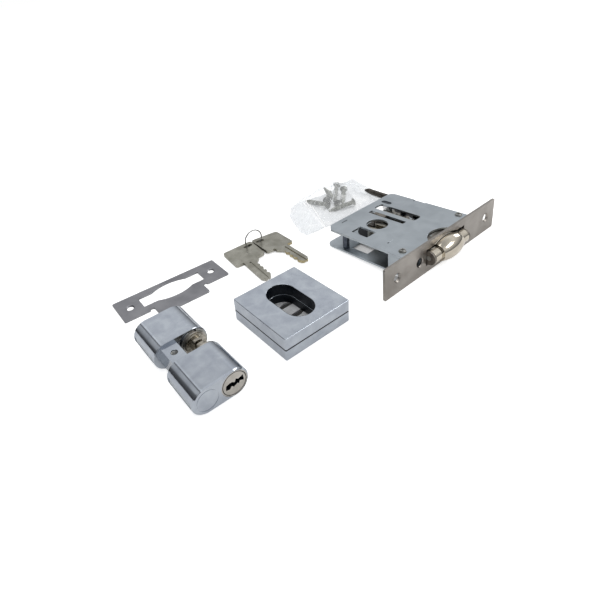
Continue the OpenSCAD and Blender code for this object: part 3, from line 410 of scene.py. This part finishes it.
def middleOf(name):
    low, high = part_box(name)
    return (low + high) / 2 / millimetre


# Plugs: painted shade in the joint round each face and on the keyway walls, in millimetres from the middle of
# the face
plugRim, rimDepth = 7.86, 1
wallReach, wallFrom, wallSide = 6.6, 0.25, 0.3


def inPlug(centre, end):
    return cylinderMatrix(end).inverted() @ (centre * millimetre) / millimetre


def isPlugRim(centre, end):
    at = inPlug(centre, end)
    return at.xz.length > plugRim and at.y < rimDepth


def isKeywayWall(centre, normal, end):
    at = inPlug(centre, end)
    facing = cylinderMatrix(end).to_3x3().inverted() @ normal
    return abs(facing.y) < wallSide and at.y > wallFrom and at.xz.length < wallReach


for end in ("near", "far"):
    paintFaces(pieces["plug_" + end], "jointPaintedShade", lambda centre, normal: isPlugRim(centre, end))
    paintFaces(pieces["plug_" + end], "borePaintedShade", lambda centre, normal: isKeywayWall(centre, normal, end))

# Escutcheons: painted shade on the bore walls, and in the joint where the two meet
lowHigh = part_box("lower_escutcheon")[1].z / millimetre
escutcheonMiddle = middleOf("upper_escutcheon")
escutcheonHalf, jointReach, jointDepth = 25.4, 1, 0.42
boreReach, boreSide = 18.6, 0.4
jointSlope = (0.2, 0.97)


def fromMiddle(centre):
    return max(abs(centre.x - escutcheonMiddle.x), abs(centre.y - escutcheonMiddle.y))


def isBore(centre, normal):
    return fromMiddle(centre) < boreReach and abs(normal.z) < boreSide


def isJoint(centre, normal):
    atEdge = fromMiddle(centre) > escutcheonHalf - jointReach and abs(centre.z - lowHigh) < jointDepth
    return atEdge and jointSlope[0] < abs(normal.z) < jointSlope[1]


for name in ("upper_escutcheon", "lower_escutcheon"):
    paintFaces(pieces[name], "borePaintedShade", isBore)
    paintFaces(pieces[name], "jointPaintedShade", isJoint)

# Right key: bare brass on the cut side of the blade
ringMiddle = middleOf("key_ring")
bladeFrom = 27.5
bladeSide, bladeBack = 0.75, 0.2


def isCutSide(centre, normal):
    along = (centre - ringMiddle).xy.length
    return abs(normal.z) < bladeSide and normal.y < bladeBack and along > bladeFrom


paintFaces(pieces["key_right"], "cutBrass", isCutSide)

# Cover: painted shade in the pressed marks, as places and reach in millimetres
coverMarks = [(34.2, 25.2, 3.6), (38.2, 71.2, 3.6), (86.8, 67.2, 5.4)]
markPlaces = [(Vector((x, y)) - setMiddle.xy, reach) for x, y, reach in coverMarks]
markSide, markDepth = 0.985, 0.08
topFaces = [face for face in pieces["cover_plate"].data.polygons if face.normal.z > 0.99]
coverFace = max(topFaces, key=lambda face: face.area)
coverLevel = coverFace.normal.dot(coverFace.center) / millimetre


def isPressedMark(centre, normal):
    isNear = any((centre.xy - place).length < reach for place, reach in markPlaces)
    isSunk = 0 < normal.dot(centre) < coverLevel - markDepth
    return isNear and (abs(normal.z) < markSide or isSunk)


paintFaces(pieces["cover_plate"], "markPaintedShade", isPressedMark)
print("faces painted")

# Rolled threads: a ridge wound round each screw's shank, in millimetres
threadSteps = 20
woodScrew = {
    "length": 25.0, "root": 1.72, "crest": 2.12, "pitch": 1.7, "from": 5.5, "point": 6.0,
    "steps": threadSteps}
longScrew = {
    "length": 70.0, "root": 2.38, "crest": 2.6, "pitch": 0.9, "from": 6.0, "point": 4.0,
    "steps": threadSteps}
# Screws as they lie in the part's source: place on the table, heading and lean in degrees
screwLean, topScrewLean = 5.7, -11.8
screwHeadUp, longScrewUp = 4.1, 3.8
screwPlaces = [
    (70, 117, 98, screwLean), (75.5, 124, 36, screwLean), (89, 104, 162, screwLean),
    (103, 128.5, 219.5, screwLean), (105.5, 139.5, 218, screwLean), (78, 113.5, 72, topScrewLean)]
longScrewPlace = (116.8, 44, 90, 1.064)
flankShare = 0.3  # half a thread's width at its root, as a share of the pitch
rootSunk = 0.97  # the ridge's root, as a share of the shank's radius
tipShare = 0.42  # the shank's radius at the very point, as a share of the full one
crestAtTip = 0.25  # the ridge's height at the very point, as a share of the full one


def threadRidge(name, spec):
    turns = (spec["length"] - spec["from"]) / spec["pitch"]
    count = int(turns * spec["steps"])
    points = []
    for i in range(count + 1):
        along = spec["from"] + (spec["length"] - spec["from"]) * i / count
        tip = min(1.0, (spec["length"] - along) / spec["point"])
        start = min(1.0, i / spec["steps"])
        root = (tipShare + (1 - tipShare) * tip) * spec["root"] * rootSunk
        crest = root + (spec["crest"] - spec["root"] * rootSunk) * start * min(1.0, crestAtTip + tip)
        turn = math.tau * turns * i / count
        for radius, shift in ((root, -flankShare), (crest, 0.0), (root, flankShare)):
            point = Vector((along + shift * spec["pitch"], radius * math.cos(turn), radius * math.sin(turn)))
            points.append(point * millimetre)
    faces = [(3 * i + k, 3 * i + (k + 1) % 3, 3 * i + 3 + (k + 1) % 3, 3 * i + 3 + k)
             for i in range(count) for k in range(3)]
    faces += [(2, 1, 0), (3 * count, 3 * count + 1, 3 * count + 2)]
    mesh = bpy.data.meshes.new(name)
    mesh.from_pydata(points, [], faces)
    mesh.update()
    return mesh


def placedScrew(at, heading, lean, up):
    return (Matrix.Translation((Vector((at[0], at[1], up)) - setMiddle) * millimetre)
            @ Matrix.Rotation(math.radians(heading), 4, "Z") @ Matrix.Rotation(math.radians(lean), 4, "Y"))


def addThreads(name, spec, places, finish, node):
    first = threadRidge(name, spec)
    copies = []
    for k, place in enumerate(places):
        mesh = first.copy()
        mesh.transform(place)
        copies.append(bpy.data.objects.new(name + str(k), mesh))
        bpy.context.scene.collection.objects.link(copies[-1])
    deselectAll()
    for thread in copies:
        thread.select_set(True)
    bpy.context.view_layer.objects.active = copies[0]
    if len(copies) > 1:
        bpy.ops.object.join()
    piece = copies[0]
    piece.name = name
    piece.data.materials.append(finishes[finish])
    editAll(piece)
    bpy.ops.mesh.normals_make_consistent(inside=False)
    bpy.ops.object.mode_set(mode="OBJECT")
    bpy.ops.object.shade_smooth_by_angle(angle=smoothWithin)
    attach(piece, bodyOf[node])
    return piece


woodScrewsLie = [placedScrew(p[:2], p[2], p[3], screwHeadUp) for p in screwPlaces]
longScrewLies = placedScrew(longScrewPlace[:2], longScrewPlace[2], longScrewPlace[3], longScrewUp)
addThreads("woodScrewThreads", woodScrew, woodScrewsLie, "bagScrewZinc", "wood_screws")
addThreads("longScrewThread", longScrew, [longScrewLies], "darkPassivated", "fixing_screw")

# Tapped hole in the cylinder's bridge: a ridge that winds down its wall
tapped = {"length": 6.0, "root": 2.2, "crest": 1.8, "pitch": 0.85, "from": 0.2, "point": 0.1, "steps": 24}
bridgeLow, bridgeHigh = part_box("cylinder_bridge")
holeMouth = (bridgeLow + bridgeHigh) / 2
holeMouth.z = bridgeHigh.z
downTheHole = Matrix.Translation(holeMouth) @ Matrix.Rotation(math.pi / 2, 4, "Y")
addThreads("bridgeThread", tapped, [downTheHole], "brightZinc", "cylinder_bridge")
print("threads wound")

# Bag: two films of polythene sealed at their edges, laid over the screws by a cloth simulation
# Each edge goes through corners seen in the photo, in millimetres on the table
bagEdges = {
    "front": [(24.5, 97), (34.6, 95.4), (43.6, 94.6), (56.6, 93), (72, 91.6), (88, 91), (112, 91)],
    "back": [
        (51, 146.5), (66, 148.5), (81.7, 144.4), (94, 141.4), (108, 141.6), (121, 143.6), (135.5, 145.6)],
    "left": [(24.5, 97), (23.6, 105), (27.5, 114), (31.5, 123), (37, 133.5), (51, 146.5)],
    "right": [(112, 91), (121, 101), (125.5, 112), (128.5, 123), (131.5, 134), (135.5, 145.6)],
}
# Film, heights and skin are in millimetres, and slack is how much longer the film is than its edges
bagSpec = {
    "columns": 84, "rows": 46, "film": 0.35, "under": 0.21, "lowest": 0.175, "least": 2.2, "rise": 11.5,
    "slack": 0.055, "frames": 34, "skin": 0.45}
# The heap's middle and reach, the swelling's reach and the folds' reach are shares of the bag's sides
bagHeap = {"middle": (0.6, 0.52), "reach": (0.3, 0.5), "edge": 0.16, "power": 0.8}
bagAspect, foldReach = 0.6, 0.3


def bagEdge(side, place):
    return Vector(bagEdges[side][place])


def alongEdge(side, share):
    count = len(bagEdges[side]) - 1
    i = min(int(share * count), count - 1)
    return bagEdge(side, i).lerp(bagEdge(side, i + 1), share * count - i)


def bagPoint(u, v):
    front, back = alongEdge("front", u), alongEdge("back", u)
    left, right = alongEdge("left", v), alongEdge("right", v)
    corners = (bagEdge("front", 0) * (1 - u) + bagEdge("front", -1) * u) * (1 - v)
    corners += (bagEdge("back", 0) * (1 - u) + bagEdge("back", -1) * u) * v
    return front * (1 - v) + back * v + left * (1 - u) + right * u - corners


# Folds of the film: their places along and across the bag, heading, width as a share and rise in millimetres
bagFolds = [
    (0.2, 0.5, 10, 0.022, 3.2), (0.245, 0.45, 14, 0.02, 1.4), (0.1, 0.4, -18, 0.03, 1.4),
    (0.33, 0.62, 34, 0.025, 1.8), (0.78, 0.62, -24, 0.03, 3.0), (0.86, 0.4, 22, 0.03, 3.4),
    (0.92, 0.7, -8, 0.025, 3.2), (0.7, 0.2, 62, 0.03, 2.4), (0.5, 0.12, 76, 0.03, 2.2),
    (0.83, 0.82, 48, 0.03, 2.6), (0.97, 0.5, 4, 0.02, 1.8), (0.42, 0.85, -60, 0.03, 2.0),
]


def bagHeight(u, v):
    edge = min(u, 1 - u, v, 1 - v)
    swell = min(1.0, edge / bagHeap["edge"]) ** bagHeap["power"]
    middle, reach = bagHeap["middle"], bagHeap["reach"]
    heap = math.exp(-((u - middle[0]) / reach[0]) ** 2 - ((v - middle[1]) / reach[1]) ** 2)
    height = bagSpec["film"] + swell * (bagSpec["least"] + bagSpec["rise"] * heap)
    for along, across, heading, width, rise in bagFolds:
        turn = math.radians(heading)
        off = (u - along) * math.cos(turn) + (v - across) * math.sin(turn) * bagAspect
        far = -(u - along) * math.sin(turn) + (v - across) * math.cos(turn) * bagAspect
        height += swell * rise * max(0.0, 1 - abs(off) / width) * math.exp(-(far / foldReach) ** 2)
    return height


def bagFilmMesh():
    columns, rows = bagSpec["columns"], bagSpec["rows"]
    points, index = [], {}
    for side in (1, 0):
        for j in range(rows + 1):
            for i in range(columns + 1):
                onEdge = i in (0, columns) or j in (0, rows)
                if onEdge and side == 0:
                    index[i, j, 0] = index[i, j, 1]
                    continue
                u, v = i / columns, j / rows
                flat = bagPoint(u, v)
                height = bagHeight(u, v) if side else bagSpec["under"]
                index[i, j, side] = len(points)
                points.append((Vector((flat.x, flat.y, height)) - setMiddle) * millimetre)
    faces = []
    for side in (1, 0):
        for j in range(rows):
            for i in range(columns):
                ring = [index[i + a, j + b, side] for a, b in ((0, 0), (1, 0), (1, 1), (0, 1))]
                faces.append(ring if side else ring[::-1])
    mesh = bpy.data.meshes.new("bagFilm")
    mesh.from_pydata(points, [], faces)
    mesh.update()
    lower = [index[i, j, 0] for i in range(1, columns) for j in range(1, rows)]
    return mesh, lower


# A welded seam parts the flap from the pouch, shown bright by a painted highlight of white glow: a place on
# it, its heading and half its width
sealLine = {"through": (44.8, 98, 0), "heading": 66.9, "halfWidth": 0.45}
# Colours of the film and of its painted glow, sizes of its creases and painted glints in millimetres, and
# shares of the milky part
filmLook = {
    "clear": (0.978, 0.981, 0.984, 1), "milk": (0.9, 0.92, 0.93, 1), "paintedGlow": (0.96, 0.98, 1, 1),
    "creaseSize": 7, "creaseDepth": 0.9, "milkLeast": 0.1, "milkMost": 0.47, "flapMilk": 0.1,
    "glintSize": 15, "glintFrom": 0.55, "glintTo": 0.7, "glintMost": 0.32, "brightShare": 0.9, "white": 0.98}


def filmCreases(tree, place):
    crease = addNode(tree, "ShaderNodeTexNoise", {
        "Scale": 1 / (filmLook["creaseSize"] * millimetre), "Detail": 4.0, "Roughness": 0.5,
        "Distortion": 1.6}, {"Vector": place}).outputs["Fac"]
    ridge = addMath(tree, "ABSOLUTE", addMath(tree, "SUBTRACT", crease, 0.5))
    return addNode(tree, "ShaderNodeBump", {
        "Strength": 0.7, "Distance": filmLook["creaseDepth"] * millimetre},
        {"Height": ridge}).outputs["Normal"]


# Painted highlights: glints of white glow scattered over the film by a noise
def filmGlints(tree, place):
    noise = addNode(tree, "ShaderNodeTexNoise", {
        "Scale": 1 / (filmLook["glintSize"] * millimetre), "Detail": 1.0, "Distortion": 0.9},
        {"Vector": place}).outputs["Fac"]
    return addNode(tree, "ShaderNodeMapRange", {
        "From Min": filmLook["glintFrom"], "From Max": filmLook["glintTo"], "To Max": filmLook["glintMost"]},
        {"Value": noise}).outputs["Result"]


def pastSeam(tree, place):
    seamPlace = (Vector(sealLine["through"]) - setMiddle) * millimetre
    heading = math.radians(sealLine["heading"])
    across = Vector((math.sin(heading), -math.cos(heading), 0))
    offset = addNode(tree, "ShaderNodeVectorMath", {"operation": "DOT_PRODUCT", 1: across},
                     {0: place}).outputs["Value"]
    return addMath(tree, "SUBTRACT", offset, seamPlace.dot(across))


def filmMaterial():
    material, tree = newMaterial("clearFilm")
    place = addNode(tree, "ShaderNodeTexCoord").outputs["Object"]
    bump = filmCreases(tree, place)
    clear = addNode(tree, "ShaderNodeBsdfTransparent", {"Color": filmLook["clear"]})
    # The milky part glows a little: a painted glow standing in for light scattered through the film
    milk = addNode(tree, "ShaderNodeBsdfPrincipled", {
        "Base Color": filmLook["milk"], "Roughness": 0.14, "IOR": 1.5, "Emission Color": filmLook["paintedGlow"],
        "Emission Strength": 0.3}, {"Normal": bump})
    facing = addNode(tree, "ShaderNodeLayerWeight", {"Blend": 0.35}, {"Normal": bump}).outputs["Facing"]
    share = addNode(tree, "ShaderNodeMapRange", {
        "From Min": 0.0, "From Max": 1.0, "To Min": filmLook["milkLeast"], "To Max": filmLook["milkMost"]},
        {"Value": facing}).outputs["Result"]
    offset = pastSeam(tree, place)
    flap = addMath(tree, "LESS_THAN", offset, 0.0)
    share = addMath(tree, "MULTIPLY_ADD", flap, filmLook["flapMilk"], share)
    # The seam and the glints are painted highlights: a white glow mixed over the film
    seam = addMath(tree, "COMPARE", offset, 0.0, sealLine["halfWidth"] * millimetre)
    bright = addMath(tree, "MAXIMUM", seam, filmGlints(tree, place))
    bright = addMath(tree, "MULTIPLY", bright, filmLook["brightShare"])
    white = addNode(tree, "ShaderNodeEmission", {"Strength": filmLook["white"]})
    film = addNode(tree, "ShaderNodeMixShader", {}, {0: share, 1: clear.outputs[0], 2: milk.outputs[0]})
    mixed = addNode(tree, "ShaderNodeMixShader", {}, {0: bright, 1: film.outputs[0], 2: white.outputs[0]})
    addNode(tree, "ShaderNodeOutputMaterial", {}, {"Surface": mixed.outputs[0]})
    return material


def dropFilm(piece, lower):
    held = piece.vertex_groups.new(name="onTable")
    held.add(lower, 1.0, "REPLACE")
    cloth = piece.modifiers.new("film", "CLOTH")
    cloth.settings.quality = 6
    cloth.settings.mass = 0.02
    cloth.settings.tension_stiffness = 30
    cloth.settings.compression_stiffness = 30
    cloth.settings.shear_stiffness = 12
    cloth.settings.bending_stiffness = 0.02
    cloth.settings.air_damping = 3
    cloth.settings.shrink_min = -bagSpec["slack"]
    cloth.settings.vertex_group_mass = "onTable"
    cloth.collision_settings.distance_min = bagSpec["skin"] * millimetre
    cloth.collision_settings.collision_quality = 3
    cloth.point_cache.frame_start = 1
    cloth.point_cache.frame_end = bagSpec["frames"]
    stop = pieces["wood_screws"].modifiers.new("underFilm", "COLLISION")
    pieces["wood_screws"].collision.thickness_outer = bagSpec["skin"] * millimetre
    for step in range(1, bagSpec["frames"] + 1):
        bpy.context.scene.frame_set(step)
    selectOnly(piece)
    bpy.ops.object.modifier_apply(modifier="film")
    pieces["wood_screws"].modifiers.remove(stop)
    bpy.context.scene.frame_set(1)
    for point in piece.data.vertices:
        point.co.z = max(point.co.z, bagSpec["lowest"] * millimetre)


bagMesh, bagLower = bagFilmMesh()


# The film's two layers are one closed surface, and the flat size is that of one layer
bag = addPiece("bagFilm", bagMesh, bodyOf["screw_bag"])
bag.data.materials.append(filmMaterial())
dropFilm(bag, bagLower)
selectOnly(bag)
bpy.ops.object.shade_smooth()
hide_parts("screw_bag")

# Camera: fitted to the photo
cameraPlace = {
    "location": (-0.197799, -0.218229, 0.199418),
    "turn": (60.2878, 5.4141, -39.222),
    "lens": 28.5473,
    "shift": (0.066667, -0.116667),
}
cameraData = bpy.data.cameras.new("camera")
camera = bpy.data.objects.new("camera", cameraData)
bpy.context.scene.collection.objects.link(camera)
camera.location = cameraPlace["location"]
camera.rotation_euler = [math.radians(a) for a in cameraPlace["turn"]]
cameraData.lens = cameraPlace["lens"]
cameraData.shift_x, cameraData.shift_y = cameraPlace["shift"]
cameraData.clip_start = 0.01
bpy.context.scene.camera = camera

# The table is in shade under the case and inside the escutcheons: middle, radius and tone of each patch
shadedPlaces = [
    ((89.3, 81), 3.4, 0.05),
    ((105, 80.2), 3.4, 0.5),
    ((40, 52), 9, 0.5),
    ((101, 84), 7.5, 0.84),
    ((46.4, 11.4), 3.4, 0.02),
    ((24.4, 10.8), 3.6, 0.3),
]
escutcheonShade = (17, 0.03)
patchEdge = 1.15


def shadePatch(tree, place, middle, radius, tone):
    away = addNode(tree, "ShaderNodeVectorMath", {
        "operation": "DISTANCE", 1: (middle[0] * millimetre, middle[1] * millimetre, 0)},
        {0: place}).outputs["Value"]
    return addNode(tree, "ShaderNodeMapRange", {
        "From Min": radius * millimetre, "From Max": radius * patchEdge * millimetre, "To Min": tone},
        {"Value": away}).outputs["Result"]


# White table: seen straight it glows to white, and in the metal's mirror it is a pale grey
deselectAll()
floorSpec = {"size": 12.0, "drop": 0.00002, "tone": 0.78, "fill": 0.7, "mirrored": 0.27}
openSpec = {"reach": 0.03, "dark": 0.03, "white": 0.1}
bpy.ops.mesh.primitive_plane_add(size=floorSpec["size"], location=(0, 0, -floorSpec["drop"]))
floor = bpy.context.object
floor.name = "table"
whiteTable, tree = newMaterial("whiteTable")
rays = addNode(tree, "ShaderNodeLightPath")
seen = straightRays(tree, rays)
mirrored = addMath(tree, "MULTIPLY", rays.outputs["Is Glossy Ray"], floorSpec["mirrored"])
fill = addMath(tree, "MULTIPLY_ADD", seen, floorSpec["fill"], mirrored)
# Deep inside the holes the table's glow is darkened by ambient occlusion as painted shade, and elsewhere it
# keeps its white
openness = addNode(tree, "ShaderNodeAmbientOcclusion", {
    "Distance": openSpec["reach"], "samples": 8}).outputs["AO"]
openness = addNode(tree, "ShaderNodeMapRange", {
    "From Min": openSpec["dark"], "From Max": openSpec["white"]}, {"Value": openness}).outputs[0]
fill = addMath(tree, "MULTIPLY", fill, openness)
onTable = addNode(tree, "ShaderNodeTexCoord").outputs["Object"]
shade = shadePatch(tree, onTable, escutcheonMiddle.xy, *escutcheonShade)
for place, radius, tone in shadedPlaces:
    patch = shadePatch(tree, onTable, Vector(place) - setMiddle.xy, radius, tone)
    shade = addMath(tree, "MULTIPLY", shade, patch)
fill = addMath(tree, "MULTIPLY", fill, shade)
tone = addNode(tree, "ShaderNodeVectorMath", {
    "operation": "SCALE", 0: (floorSpec["tone"],) * 3}, {"Scale": shade}).outputs[0]
matt = addNode(tree, "ShaderNodeBsdfDiffuse", {}, {"Color": tone})
glow = addNode(tree, "ShaderNodeEmission", {}, {"Strength": fill})
both = addNode(tree, "ShaderNodeAddShader", {}, {0: matt.outputs[0], 1: glow.outputs[0]})
addNode(tree, "ShaderNodeOutputMaterial", {}, {"Surface": both.outputs[0]})
floor.data.materials.append(whiteTable)

# Room: plain white to the eye, with soft bands for the metal to mirror
mirroredEnds = [(0.22, 0.22, 0.23, 1), (1, 1, 1, 1)]
mirroredBands = [
    (0.19, 0.25), (0.22, 0.7), (0.34, 0.72), (0.36, 0.25), (0.39, 0.25), (0.4, 1.15), (0.45, 1.2), (0.47, 1)]
roomEnds = [(0.16, 0.165, 0.175, 1), (0.5, 0.51, 0.53, 1)]
roomTones = [(0.25, 0.5), (0.45, 0.78), (0.62, 0.95), (0.8, 0.7)]
roomTint = Vector((1, 1.01, 1.03))
fillLight = (0.55, 0.55, 0.56, 1)


def colourRamp(tree, factor, ends, stops, tint):
    ramp = addNode(tree, "ShaderNodeValToRGB", {}, {"Fac": factor})
    for element, colour in zip(ramp.color_ramp.elements, ends):
        element.color = colour
    for place, tone in stops:
        ramp.color_ramp.elements.new(place).color = (*(tint * tone), 1)
    return ramp.outputs["Color"]


world = bpy.data.worlds.new("studio")
bpy.context.scene.world = world
world.use_nodes = True
tree = world.node_tree
tree.nodes.clear()
rays = addNode(tree, "ShaderNodeLightPath")
direction = addNode(tree, "ShaderNodeTexCoord").outputs["Generated"]
height = addNode(tree, "ShaderNodeSeparateXYZ", {}, {0: direction}).outputs["Z"]
sideways = addNode(tree, "ShaderNodeSeparateXYZ", {}, {0: direction}).outputs["X"]
# Bands that the rounded sides mirror: a dark wall at the left, a window strip, then the open room
leftwards = addNode(tree, "ShaderNodeMapRange", {"From Min": -1.0, "From Max": 1.0},
                    {"Value": sideways}).outputs[0]
bands = colourRamp(tree, leftwards, mirroredEnds, mirroredBands, Vector((1, 1, 1)))
room = colourRamp(tree, height, roomEnds, roomTones, roomTint)
plain = straightRays(tree, rays)
mirroredRoom = addNode(tree, "ShaderNodeVectorMath", {"operation": "MULTIPLY"},
                       {0: room, 1: bands}).outputs[0]
shown = addNode(tree, "ShaderNodeMix", {"data_type": "RGBA"},
                {0: rays.outputs["Is Glossy Ray"], 7: mirroredRoom})
shown.inputs[6].default_value = fillLight
backdrop = addNode(tree, "ShaderNodeMix", {"data_type": "RGBA"}, {0: plain, 6: shown.outputs[2]})
backdrop.inputs[7].default_value = (1, 1, 1, 1)
sky = addNode(tree, "ShaderNodeBackground", {"Strength": 1.0}, {"Color": backdrop.outputs[2]})
addNode(tree, "ShaderNodeOutputWorld", {}, {"Surface": sky.outputs[0]})

# Softboxes round the table, turned to its middle: places and sizes in metres
lamps = {
    "softboxFront": {"at": (0.6, -0.75, 0.72), "size": (0.5, 0.3), "watts": 2.6},
    "softboxRight": {"at": (1.1, 0.0, 0.4), "size": (0.3, 0.3), "watts": 1.2},
    "softboxTop": {"at": (-0.1, 0.1, 1.2), "size": (0.8, 0.7), "watts": 3.6},
}
for name, spec in lamps.items():
    lampData = bpy.data.lights.new(name, "AREA")
    lampData.shape = "RECTANGLE"
    lampData.size, lampData.size_y = spec["size"]
    lampData.energy = spec["watts"]
    lamp = bpy.data.objects.new(name, lampData)
    bpy.context.scene.collection.objects.link(lamp)
    lamp.location = spec["at"]
    lamp.rotation_euler = (-Vector(spec["at"])).to_track_quat("-Z", "Y").to_euler()
bpy.context.scene.view_settings.view_transform = "Standard"
print("camera, table and light placed")
